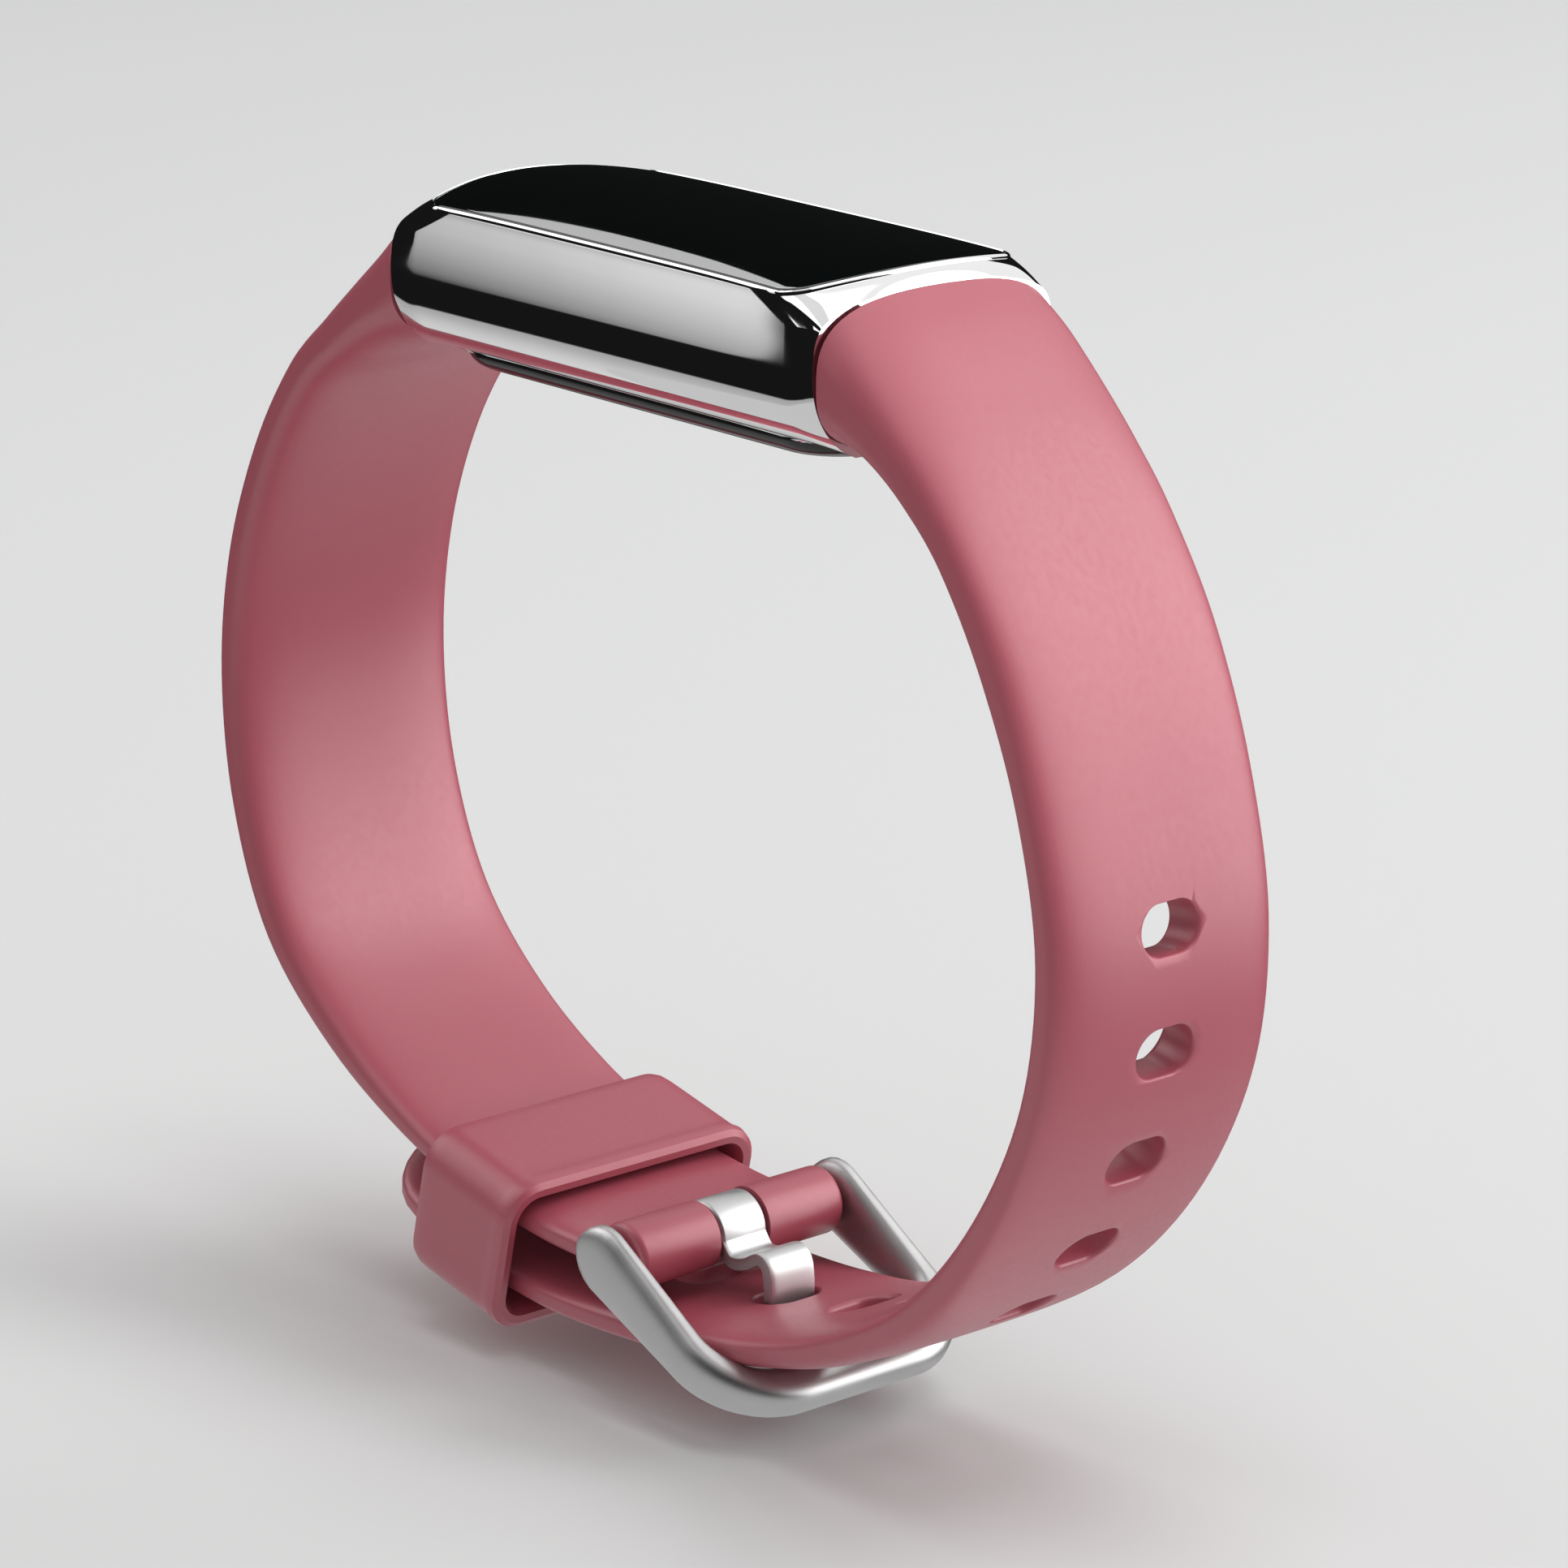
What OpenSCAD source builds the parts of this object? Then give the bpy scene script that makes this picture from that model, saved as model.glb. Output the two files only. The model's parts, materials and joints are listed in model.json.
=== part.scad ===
// Fitness tracker band: a slim tracker module on a closed elastomer band with a tang buckle.
// Millimetres, +Z up. X runs along the tracker, Y across the band.
// The origin is the centre of the wrist opening, on the wrist's axis (Y).

/* [Tracker case] */
// Length of the steel case between its end faces
case_l = 36.4; // [36:0.1:37]
// Width of the steel case
case_w = 17.6; // [17.4:0.1:18]
// Height of the case's end face
case_h = 9.1; // [9:0.05:9.3]
// Height of the case's middle above the wrist axis
case_z = 20.87; // [20.5:0.01:21.2]
// Width of the cover glass
glass_w = 16.6; // [16.2:0.1:16.7]
// Length of the cover glass along its middle
glass_l = 34.5; // [34:0.1:35]
// How far the glass is crowned across its width
glass_crown = 0.9; // [0.7:0.05:1]

/* [Band] */
// Width of the band away from the case
band_w = 16.5; // [16.3:0.1:16.7]
// Number of adjustment holes
hole_count = 10; // [8:1:10]
// Distance between neighbouring holes along the band
hole_pitch = 7.05; // [7.03:0.01:7.06]
// Length of a hole across the band
hole_w = 4.2; // [4:0.1:4.6]
// Length of a hole along the band
hole_l = 2.9; // [2.8:0.1:3]

/* [Buckle] */
// Outer radius of the lugs that hold the bar
lug_r = 2.06; // [2:0.02:2.2]
// Outer radius of the bar's tube
bar_r = 0.9; // [0.85:0.01:0.92]
// Width of the buckle frame
frame_w = 19.4; // [19.2:0.1:19.8]
// Distance from the bar's axis to the outer bar's middle
frame_l = 12.6; // [12.5:0.05:12.7]
// Slope of the fastened frame below the horizontal
frame_slope = 27; // [26.5:0.1:27.5]
// Width of the tang
tang_w = 3.4; // [3:0.1:3.5]

/* [Keeper] */
// Length of the keeper along the band
keeper_l = 8.2; // [7:0.1:8.6]
// Wall of the keeper
keeper_wall = 1.0; // [0.8:0.05:1.2]

/* [Hidden] */

gap = 0.05;              // running clearance between neighbouring pieces
end_x = case_l / 2;      // end faces of the case
strap_x = end_x + 0.2;   // root faces of the two band halves

// Heights of the tracker's layers, from the skin side up
skin_z = 15.7;
base_lip_z = 16.9;
base_top_z = 17.5;
sensor_z = 18.0;
battery_z = 18.7;
board_z = 21.5;
board_t = 0.6;
panel_z = 23.4;
panel_t = 0.8;
glass_z = 24.5;
glass_top_z = 26.5;
cavity_x = 15.2;

// Slot in each end of the case for the band's connector
slot_x = 16.3;
slot_y = 6.0;
slot_low = 18.7;
slot_high = 22.9;

// The bar's axis and the buckle's pieces on it
bar_x = 1.33;
bar_z = -33.72;
lug_y = 7.8;
tang_gap = 0.2;
arm_inner_y = 8.15;
tube_y = 6.9;

// Middle of the keeper and the slope of its long axis
keeper_at = [-11.5, 0, -35.5];
keeper_slope = 12;
keeper_in = [17.2, 7.7];

// ---------- shared shapes ----------

function signed_pow(v, p) = sign(v) * pow(abs(v), p);

// Point j of n on a superellipse with half sizes a and b and exponent e
function oval(a, b, e, j, n) =
    let (t = 360 * (j + 0.5) / n)
    [a * signed_pow(cos(t), 2 / e), b * signed_pow(sin(t), 2 / e)];

// Catmull-Rom curve through a list of stations, with k steps between two stations
function clamped(list, i) = list[max(0, min(len(list) - 1, i))];
function catmull(a, b, c, d, t) =
    0.5 * (2 * b + (c - a) * t + (2 * a - 5 * b + 4 * c - d) * t * t
        + (3 * b - a - 3 * c + d) * t * t * t);
function smooth(list, k) = [
    for (i = [0 : len(list) - 2], j = [0 : k - 1])
        catmull(clamped(list, i - 1), list[i], list[i + 1], clamped(list, i + 2), j / k),
    list[len(list) - 1]];

// Point and direction at a distance s along a list of points
function walk(path, s, i = 0) =
    let (d = norm(path[i + 1] - path[i]))
    (s <= d || i == len(path) - 2)
        ? [path[i] + (path[i + 1] - path[i]) * s / d, (path[i + 1] - path[i]) / d]
        : walk(path, s - d, i + 1);

// Closed solid through rings that all have the same number of points
module loft(rings) {
    n = len(rings[0]);
    last = (len(rings) - 1) * n;
    points = [for (ring = rings) each ring];
    sides = [for (i = [0 : len(rings) - 2], j = [0 : n - 1])
        let (a = i * n + j, b = i * n + (j + 1) % n)
        each [[a, b + n, b], [a, a + n, b + n]]];
    first_end = [for (j = [0 : n - 1]) j];
    last_end = [for (j = [n - 1 : -1 : 0]) last + j];
    polyhedron(points, concat([first_end], sides, [last_end]), convexity = 10);
}

// Box given by its two opposite corners
module block(low, high) {
    translate(low) cube(high - low);
}

// Flat rounded rectangle, centred, with true arcs in its corners
module rounded(w, h, r) {
    square([w - 2 * r, h], center = true);
    square([w, h - 2 * r], center = true);
    for (x = [-1, 1], y = [-1, 1])
        translate([x * (w / 2 - r), y * (h / 2 - r)]) circle(r, $fn = 32);
}

// Rounded plate between two heights
module plate(w, h, r, low, high) {
    translate([0, 0, low]) linear_extrude(high - low) rounded(w, h, r);
}

// Rod along Y between two values of y, about the bar's axis
module bar_rod(r, y0, y1) {
    translate([bar_x, y1, bar_z]) rotate([90, 0, 0]) cylinder(h = y1 - y0, r = r, $fn = 48);
}

// Helical spring standing on z = 0
module coil(r, wire, turns, h) {
    steps = turns * 10;
    loft([for (i = [0 : steps])
        let (a = 360 * i / 10, rise = wire + (h - 2 * wire) * i / steps)
        [for (j = [4 : -1 : 0])
            let (b = 72 * j, out = r + wire * cos(b))
            [out * cos(a), out * sin(a), rise + wire * sin(b)]]]);
}

// ---------- tracker case ----------

// Section of the case at one place along it: top height and top squareness change
function case_ring(x, top_h, top_e) = [
    for (j = [0 : 47])
        let (up = sin(360 * (j + 0.5) / 48) > 0)
        let (p = oval(case_w / 2, up ? top_h : case_h / 2, up ? top_e : 2.85, j, 48))
        [x, p[0], case_z + p[1]]];

// Stations from the middle to the end face: distance, height and squareness of the top
case_stations = [[15.4, 5.1, 8], [16.3, 5.2, 5], [17.2, 5.3, 3.4], [end_x, 4.6, 3]];

module case_body() {
    left = [for (i = [3 : -1 : 0]) let (s = case_stations[i]) case_ring(-s[0], s[1], s[2])];
    right = [for (s = case_stations) case_ring(s[0], s[1], s[2])];
    loft(concat(left, right));
}

// Outline of the glass: straight long sides and bowed ends
module glass_outline(grow) {
    bow = 1.75;
    bow_r = (pow(glass_w / 2, 2) + pow(bow, 2)) / (2 * bow);
    intersection() {
        square([glass_l + 2, glass_w + 2 * grow], center = true);
        translate([glass_l / 2 - bow_r, 0]) circle(bow_r + grow, $fn = 128);
        translate([bow_r - glass_l / 2, 0]) circle(bow_r + grow, $fn = 128);
    }
}

module case_cavity() {
    ring = [for (j = [0 : 35]) let (p = oval(7.8, 3.6, 2.85, j, 36)) [p[0], case_z + p[1]]];
    translate([-cavity_x, 0, 0]) rotate([90, 0, 90]) linear_extrude(2 * cavity_x) polygon(ring);
    block([-cavity_x, -7.45, case_z], [cavity_x, 7.45, glass_z + 0.1]);
}

module case_shell() color("silver") difference() {
    case_body();
    case_cavity();
    translate([0, 0, glass_z]) linear_extrude(4) glass_outline(0.03);
    plate(34.06, 12.46, 4.03, skin_z - 2, base_lip_z + 0.2);
    plate(29.6, 11, 3, base_lip_z, case_z);
    for (s = [-1, 1])
        block([s > 0 ? slot_x : -end_x - 1, -slot_y, slot_low],
            [s > 0 ? end_x + 1 : -slot_x, slot_y, slot_high]);
}

module cover_glass() color([0.02, 0.02, 0.03]) {
    crown_r = (pow(glass_w / 2, 2) + pow(glass_crown, 2)) / (2 * glass_crown);
    intersection() {
        translate([0, 0, glass_z]) linear_extrude(4) glass_outline(0);
        translate([-glass_l, 0, glass_top_z - crown_r]) rotate([0, 90, 0])
            cylinder(h = 2 * glass_l, r = crown_r, $fn = 256);
    }
}

module glass_gasket() color("dimgray") difference() {
    plate(30.2, 14.2, 1, panel_z + panel_t + 0.05, glass_z);
    plate(28.4, 13.2, 0.8, panel_z, glass_z + 1);
}

module display_panel() color("black") plate(28, 12.8, 0.6, panel_z, panel_z + panel_t);

module display_flex() color("orange") {
    block([14.05, -2.5, board_z + board_t], [14.2, 2.5, panel_z + 0.5]);
    block([12.6, -2.5, board_z + board_t], [14.05, 2.5, board_z + board_t + 0.15]);
}

// ---------- electronics ----------

// Places of the four screws that hold the board to the mid frame
module at_screws() {
    for (x = [-13.2, 13.2], y = [-5.4, 5.4]) translate([x, y, 0]) children();
}

module mid_frame() color("darkslategray") difference() {
    union() {
        difference() {
            plate(29.8, 14.2, 1.5, board_z + board_t, panel_z);
            plate(27.6, 12, 1, board_z, panel_z + 1);
        }
        at_screws() translate([0, 0, board_z + board_t])
            cylinder(h = panel_z - board_z - board_t, r = 1.1, $fn = 32);
    }
    at_screws() translate([0, 0, board_z]) cylinder(h = 1.6, r = 0.5, $fn = 32);
    block([13, -2.6, board_z], [16, 2.6, panel_z + 1]);
}

module chassis_screws() color("gold") at_screws() {
    translate([0, 0, board_z - 0.5]) difference() {
        cylinder(h = 0.5, r = 0.9, $fn = 32);
        translate([-0.6, -0.1, -0.1]) cube([1.2, 0.2, 0.3]);
        translate([-0.1, -0.6, -0.1]) cube([0.2, 1.2, 0.3]);
    }
    translate([0, 0, board_z]) cylinder(h = 1.4, r = 0.48, $fn = 32);
}

module main_board() color("darkgreen") difference() {
    plate(29, 13.8, 1.2, board_z, board_z + board_t);
    at_screws() translate([0, 0, board_z - 1]) cylinder(h = 3, r = 0.6, $fn = 32);
}

module board_chips() color([0.12, 0.12, 0.13]) {
    top = board_z + board_t;
    block([-10.5, -3.2, top], [-5.5, 2, top + 0.7]);
    block([-4.2, -2.4, top], [-1.4, 1.4, top + 0.6]);
    for (i = [0 : 4]) block([-10 + 2 * i, 2.8, top], [-9 + 2 * i, 3.3, top + 0.4]);
    block([3.2, -4, top], [6.2, -1, top + 0.7]);
    block([3.2, 0.8, top], [5.4, 3, top + 0.6]);
    block([8, -1, top], [10.6, 1, top + 0.8]);
}

module shield_can() color("lightgray") translate([-5.9, 0, 0]) difference() {
    plate(11, 9, 0.8, board_z + board_t, board_z + board_t + 1.1);
    plate(10.7, 8.7, 0.7, board_z, board_z + board_t + 0.95);
}

module battery() color("slategray") {
    translate([-3.2, 0, 0]) plate(17.4, 11.4, 1, battery_z, battery_z + 2.6);
    block([5.49, -3, battery_z + 0.8], [6.35, 3, battery_z + 1.8]);
}

module battery_flex() color("orange") {
    block([6.4, -2, battery_z + 1], [6.55, 2, board_z]);
}

// ---------- vibration motor ----------

motor_x = 10.4;
motor_r = 3.4;
motor_h = 2.5;

module motor_can() color("silver") translate([motor_x, 0, battery_z - 0.1]) difference() {
    cylinder(h = motor_h, r = motor_r, $fn = 64);
    translate([0, 0, 0.2]) cylinder(h = motor_h - 0.4, r = motor_r - 0.2, $fn = 64);
}

module motor_mass() color("darkgoldenrod") translate([motor_x, 0, battery_z + 0.85])
    cylinder(h = 0.95, r = motor_r - 0.5, $fn = 64);

module motor_spring() color("gray") translate([motor_x, 0, battery_z + 0.1])
    coil(2, 0.08, 2, 0.75);

module antenna_flex() color("orange") block([-12, 7.25, 21.3], [12, 7.4, 23.6]);

// ---------- optical sensor and back ----------

window_x = -1;

module sensor_board() color("darkgreen") translate([window_x, 0, 0])
    plate(15, 10, 1, sensor_z, sensor_z + 0.5);

module sensor_flex() color("orange") {
    block([7, 3.9, sensor_z + 0.5], [7.15, 5.4, board_z]);
    block([5, 3.9, sensor_z + 0.5], [7, 5.4, sensor_z + 0.65]);
}

module leds() color("palegreen") for (y = [-0.9, 0.9])
    translate([window_x, y, sensor_z - 0.5]) translate([-0.6, -0.5, 0]) cube([1.2, 1, 0.5]);

module photodiodes() color("midnightblue") for (x = [-2.6, 2.6])
    translate([window_x + x, 0, sensor_z - 0.4]) translate([-0.8, -1.1, 0]) cube([1.6, 2.2, 0.4]);

module light_barrier() color([0.1, 0.1, 0.1]) translate([window_x, 0, 0]) difference() {
    translate([0, 0, 16.75]) cylinder(h = sensor_z - 16.75, r = 3.9, $fn = 64);
    translate([-0.8, -1.6, 16]) cube([1.6, 3.2, 3]);
    for (s = [-1, 1]) translate([s * 2.6 - 0.9, -1.3, 16]) cube([1.8, 2.6, 3]);
}

module sensor_window() color([0.08, 0.08, 0.1]) translate([window_x, 0, skin_z])
    cylinder(h = 1, r = 4.3, $fn = 64);

module contact_places() {
    for (x = [-11.5, 10.5]) translate([x, 0, 0]) children();
}

module back_cover() color([0.06, 0.06, 0.06]) difference() {
    union() {
        plate(31.4, 10.4, 3.4, skin_z, skin_z + 0.5);
        plate(33, 11.6, 3.8, skin_z + 0.35, skin_z + 0.9);
        plate(34, 12.4, 4, skin_z + 0.7, base_lip_z);
        plate(29.5, 10.9, 2.95, base_lip_z - 0.1, base_top_z);
    }
    translate([window_x, 0, skin_z - 1]) cylinder(h = 2.02, r = 4.33, $fn = 64);
    translate([window_x, 0, skin_z]) cylinder(h = 3, r = 3.95, $fn = 64);
    contact_places() translate([0, 0, skin_z - 1]) cylinder(h = 4, r = 1.22, $fn = 48);
}

module back_gasket() color("dimgray") difference() {
    plate(31.4, 11.9, 3.4, base_lip_z, base_lip_z + 0.2);
    plate(29.6, 11, 3, skin_z, base_top_z + 1);
}

module charging_contacts() color("gold") contact_places() translate([0, 0, skin_z])
    cylinder(h = sensor_z - skin_z - 0.3, r = 1.2, $fn = 48);

// ---------- band halves ----------

// Stations along each half: outer surface x and z, inner surface x and z, half width, squareness
buckle_stations = [
    [-strap_x, 25.3, -strap_x, 16.5, 8.7, 2.85],
    [-20.6, 23, -19.3, 16.4, 8.6, 2.9],
    [-23.3, 20.4, -21.2, 15.9, 8.5, 3],
    [-26.2, 17.6, -23.7, 14.6, 8.4, 3.2],
    [-29.5, 14.3, -27.1, 12.2, 8.3, 3.4],
    [-33.1, 8.65, -30.6, 7.25, band_w / 2, 3.5],
    [-35.9, 1.3, -33.2, 0.7, band_w / 2, 3.5],
    [-36.9, -6.7, -34.2, -6.7, band_w / 2, 3.5],
    [-35.85, -15.1, -33.25, -14.3, band_w / 2, 3.5],
    [-32.4, -22.9, -30.2, -21.3, band_w / 2, 3.5],
    [-26.15, -28.7, -24.75, -26.4, 8.1, 3.5],
    [-18.7, -32.5, -17.9, -30.2, 8, 3.5],
    [-12, -34.3, -11.5, -32.2, 8, 3.5],
    [-5.5, -35.2, -5.3, -33.1, 7.95, 3.5],
    [0.4, -35.4, 0.4, -33.2, 7.8, 3.5]];

hole_stations = [
    [strap_x, 25.3, strap_x, 16.6, 8.7, 2.85],
    [20.7, 23.4, 19.4, 16.8, 8.7, 2.9],
    [23.5, 20.7, 21.35, 16.3, 8.5, 3],
    [26.4, 17.65, 23.85, 14.8, 8.3, 3.2],
    [29.25, 14, 27, 11.95, band_w / 2, 3.4],
    [32.85, 8.3, 30.25, 6.85, band_w / 2, 3.5],
    [35.75, 0.9, 33.2, 0.25, band_w / 2, 3.5],
    [37.6, -7.4, 34.75, -7.4, band_w / 2, 3.5],
    [36.8, -16.15, 34, -15.3, 8.4, 3.5],
    [33.05, -24.4, 30.55, -22.7, 8.5, 3.5],
    [27.05, -31.1, 25.35, -28.8, 8.4, 3.5],
    [19.35, -35.45, 18.35, -32.95, 8, 3.5],
    [12.4, -37.72, 11.9, -35.3, 7.5, 3.5],
    [6, -38.8, 5.8, -36.4, 7.7, 3.5],
    [0, -39.3, 0, -36.9, 7.95, 3.5],
    [-6, -39.4, -6, -37.1, 7.95, 3.5],
    [-12, -38.7, -11.6, -36.5, 7.95, 3.5],
    [-17.6, -37.4, -17.1, -35.25, 7.95, 3.5]];
// Rounded end of the tail: its tip's stations, reached over a quarter of an ellipse
tip = [-23.6, -35.4, -23, -33.5];

// Ring of the band at a station
function band_ring(s, turn) = [
    for (j = [0 : 23])
        let (p = oval(1, 1, s[5], turn > 0 ? j : 23 - j, 24))
        [(s[0] + s[2]) / 2 + (s[0] - s[2]) / 2 * p[1], s[4] * p[0],
            (s[1] + s[3]) / 2 + (s[1] - s[3]) / 2 * p[1]]];

// Stations of the rounded tip, blended from the last station s
function tip_stations(s) = [
    for (a = [25, 45, 60, 72, 82])
        let (t = sin(a), w = s[4] * cos(a))
        [each [for (i = [0 : 3]) s[i] + (tip[i] - s[i]) * t], w, s[5]]];

hole_path = [for (s = smooth(hole_stations, 4)) [s[0], s[1]]];
// Distance along the outer surface from the root to the first hole
first_hole = 37.95;

// Hole through the band, at a distance s along the outer surface
module hole_cut(s) {
    at = walk(hole_path, s);
    translate([at[0][0], 0, at[0][1]]) rotate([0, -atan2(at[1][1], at[1][0]), 0])
        translate([0, 0, -6]) linear_extrude(12) rounded(hole_l, hole_w, hole_l / 2 - 0.01);
}

// Room for the hard connector and the latch in the root of a band half on the +X side
module connector_room(grow) {
    block([strap_x - 1, -5 - grow, 17.6 - grow], [21.4 + grow, 5 + grow, 21.2 + grow]);
}

module button_room(grow) {
    block([19.1 - grow, -2 - grow, 14], [20.8 + grow, 2 + grow, 18.3 + 2 * grow]);
}

module strap_buckle_side() color("palevioletred") difference() {
    union() {
        loft([for (s = smooth(buckle_stations, 2)) band_ring(s, -1)]);
        bar_rod(lug_r, -lug_y, lug_y);
    }
    bar_rod(bar_r + gap, -lug_y - 1, lug_y + 1);
    tang_room = tang_w / 2 + tang_gap;
    block([bar_x - 3.2, -tang_room, bar_z - 4], [bar_x + 4, tang_room, bar_z + 4]);
    mirror([1, 0, 0]) connector_room(0.02);
    mirror([1, 0, 0]) button_room(0.1);
}

module strap_hole_side() color("palevioletred") difference() {
    stations = smooth(hole_stations, 2);
    loft([for (s = concat(stations, tip_stations(stations[len(stations) - 1]))) band_ring(s, 1)]);
    for (i = [0 : hole_count - 1]) hole_cut(first_hole + i * hole_pitch);
    connector_room(0.02);
    button_room(0.1);
}

// ---------- connectors and latches ----------

module connector() color("gray") difference() {
    union() {
        block([slot_x + gap, -slot_y + gap, slot_low + gap], [strap_x, slot_y - gap, slot_high - gap]);
        block([strap_x - 0.01, -5, 17.6], [21.4, 5, 21.2]);
    }
    block([19, -2.1, 17], [20.9, 2.1, 18.9]);
    translate([19.95, 0, 17]) cylinder(h = 3.2, r = 0.8, $fn = 32);
}

module latch_button() color("darkgray") difference() {
    block([19.1, -2, 15.95], [20.8, 2, 18.3]);
    for (y = [-1.2 : 0.6 : 1.2]) block([19, y - 0.1, 15.9], [20.9, y + 0.1, 16.05]);
}

module latch_spring() color("gray") translate([19.95, 0, 18.3]) coil(0.5, 0.1, 5, 1.88);

module connector_left() mirror([1, 0, 0]) connector();
module connector_right() connector();
module latch_button_left() mirror([1, 0, 0]) latch_button();
module latch_button_right() latch_button();
module latch_spring_left() mirror([1, 0, 0]) latch_spring();
module latch_spring_right() latch_spring();

// ---------- keeper ----------

module keeper() color("palevioletred") translate(keeper_at) rotate([0, keeper_slope, 0])
    translate([-keeper_l / 2, 0, 0]) rotate([90, 0, 90]) linear_extrude(keeper_l) difference() {
        rounded(keeper_in[0] + 2 * keeper_wall, keeper_in[1] + 2 * keeper_wall, 2.2);
        rounded(keeper_in[0], keeper_in[1], 1.2);
    }

// ---------- spring bar ----------

module bar_tube() color("silver") difference() {
    bar_rod(bar_r, -tube_y, tube_y);
    bar_rod(0.5, -tube_y - 1, tube_y + 1);
}

module bar_plunger() color("silver") {
    bar_rod(0.45, 5.2, 9.2);
    bar_rod(0.82, lug_y + 0.03, arm_inner_y - 0.05);
}
module bar_plunger_far() bar_plunger();
module bar_plunger_near() mirror([0, 1, 0]) bar_plunger();

module bar_spring() color("gray")
    translate([bar_x, 5.15, bar_z]) rotate([90, 0, 0]) coil(0.36, 0.1, 12, 10.3);

// ---------- buckle frame and tang ----------

// Half thickness and half height of the frame at the bar, at the corners and at the outer bar
arm_size = [0.78, 2.2];
corner_size = [0.88, 1.55];
outer_size = [1.45, 1.15];
// How far the outer bar stands above the plane of the arms
outer_lift = 0.3;
frame_corner = 4.6;
arm_v = frame_w / 2 - arm_size[0];

// Ring of the frame: middle (u along the arm, v across), heading, half thickness and half height, lift
function frame_ring(u, v, heading, size, lift) = [
    for (j = [0 : 15])
        let (p = oval(size[0], size[1], 2.6, j, 16))
        [u - p[0] * sin(heading), v + p[0] * cos(heading), p[1] + lift]];

// One half of the frame, from the arm's end on the +Y side to the middle of the outer bar
function half_frame() =
    let (r = frame_corner, straight = frame_l - r)
    concat(
        [for (a = [12, 35, 60, 90])
            frame_ring(-arm_size[1] * cos(a), arm_v, 0, [arm_size[0], arm_size[1] * sin(a)], 0)],
        [for (t = [0.33, 0.67])
            frame_ring(straight * t, arm_v, 0, arm_size + (corner_size - arm_size) * t, 0)],
        [for (a = [0 : 15 : 90])
            let (t = a / 90)
            frame_ring(straight + r * sin(a), arm_v - r + r * cos(a), -a,
                corner_size + (outer_size - corner_size) * t, outer_lift * t * t)],
        [frame_ring(frame_l, 0.5, -90, outer_size, outer_lift)]);

function flip(ring) = [for (p = ring) [p[0], -p[1], p[2]]];

// Places children in the frame's own axes, with u along X from the bar
module on_frame() {
    translate([bar_x, 0, bar_z]) rotate([0, frame_slope, 0]) children();
}

module buckle_frame() color("silver") difference() {
    half = half_frame();
    on_frame() loft(concat(half, [for (i = [len(half) - 1 : -1 : 0]) flip(half[i])]));
    bar_rod(0.5, -9.25, 9.25);
}

// Middle line of the tang from the bar to its tip, in the plane of X and Z
tang_stations = [[2.43, -32.62], [2.95, -33.9], [3.8, -34.75], [5.1, -34.55], [6.25, -33.95],
    [6.95, -34.3], [7.2, -35.4], [7.2, -37], [7.3, -38.4], [7.85, -39.35], [9, -39.95],
    [10.1, -40.15], [11, -40.25]];
tang_t = 0.9;

// Strip of a given thickness along the tang's middle line
module tang_strip(thick) {
    line = smooth(tang_stations, 4);
    last = len(line) - 1;
    side = [for (i = [0 : last])
        let (d = line[min(i + 1, last)] - line[max(i - 1, 0)])
        [-d[1], d[0]] / norm(d) * thick / 2];
    upper = [for (i = [0 : last]) line[i] + side[i]];
    lower = [for (i = [last : -1 : 0]) line[i] - side[i]];
    polygon(concat(upper, lower));
}

module buckle_tang() color("silver") difference() {
    union() {
        translate([0, tang_w / 2, 0]) rotate([90, 0, 0]) linear_extrude(tang_w) tang_strip(tang_t);
        bar_rod(2, -tang_w / 2, tang_w / 2);
    }
    bar_rod(bar_r + 0.06, -tang_w, tang_w);
}

case_shell();
cover_glass();
glass_gasket();
display_panel();
display_flex();
mid_frame();
main_board();
board_chips();
shield_can();
battery();
battery_flex();
motor_can();
motor_mass();
motor_spring();
antenna_flex();
sensor_board();
sensor_flex();
leds();
photodiodes();
light_barrier();
sensor_window();
back_cover();
back_gasket();
charging_contacts();
chassis_screws();
strap_buckle_side();
strap_hole_side();
connector_left();
connector_right();
latch_button_left();
latch_button_right();
latch_spring_left();
latch_spring_right();
keeper();
bar_tube();
bar_spring();
bar_plunger_near();
bar_plunger_far();
buckle_frame();
buckle_tang();
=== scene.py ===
import json
import math

import bmesh
import bpy
import numpy as np
from mathutils import Matrix, Vector


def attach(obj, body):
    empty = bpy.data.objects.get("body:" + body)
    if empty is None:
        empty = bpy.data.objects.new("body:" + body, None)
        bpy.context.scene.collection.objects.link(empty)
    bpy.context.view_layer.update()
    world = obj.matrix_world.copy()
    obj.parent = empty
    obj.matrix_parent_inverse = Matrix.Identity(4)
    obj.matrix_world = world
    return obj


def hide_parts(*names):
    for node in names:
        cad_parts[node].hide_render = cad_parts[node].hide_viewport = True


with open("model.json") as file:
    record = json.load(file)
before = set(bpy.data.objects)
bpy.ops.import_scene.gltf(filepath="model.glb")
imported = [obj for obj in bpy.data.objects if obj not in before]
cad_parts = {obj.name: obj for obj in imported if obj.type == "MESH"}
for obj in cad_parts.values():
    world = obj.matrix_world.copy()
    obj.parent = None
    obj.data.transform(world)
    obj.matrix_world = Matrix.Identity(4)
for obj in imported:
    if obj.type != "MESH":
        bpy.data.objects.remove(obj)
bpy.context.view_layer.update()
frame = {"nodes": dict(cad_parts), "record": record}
MM = 0.001

# ---------- camera, at the photo's viewing angle ----------

scene = bpy.context.scene
scene.view_settings.view_transform = "Standard"
scene.view_settings.look = "None"

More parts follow.
